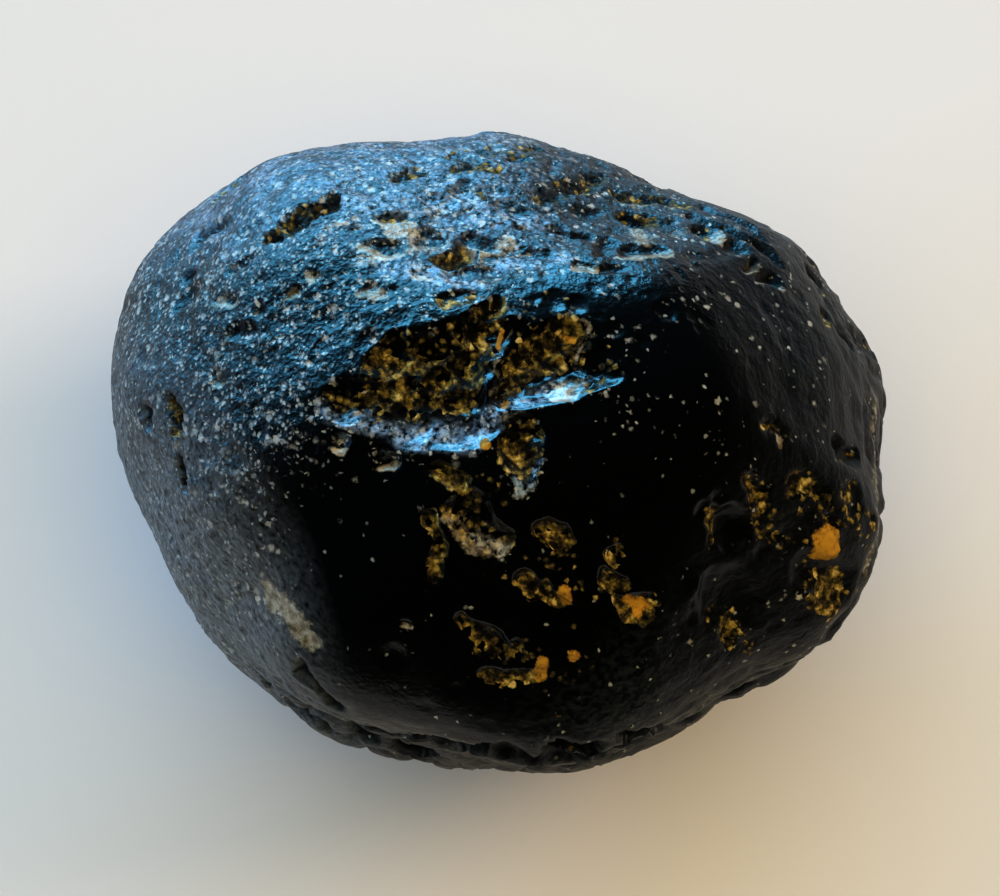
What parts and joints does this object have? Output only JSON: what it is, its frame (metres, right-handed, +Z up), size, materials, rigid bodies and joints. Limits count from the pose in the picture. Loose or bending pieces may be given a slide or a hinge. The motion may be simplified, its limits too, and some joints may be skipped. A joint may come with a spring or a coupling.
{
  "type": "tektite",
  "caption": "Rounded, pitted lump of black natural glass, lying on a small flat spot.",
  "frame": {"origin": "on the small flat spot that the stone rests on, below the middle of its hull", "axes": "+Z up, +X along the stone's length towards its blunt end, +Y towards its steeper pitted flank"},
  "size_m": [0.0521, 0.0432, 0.0367],
  "materials": {
    "tektite_glass": "etched satin black glass, micro-pitted, with ochre clay in its pits"
  },
  "bodies": {
    "root": {"tektite": "tektite_glass"}
  },
  "joints": []
}
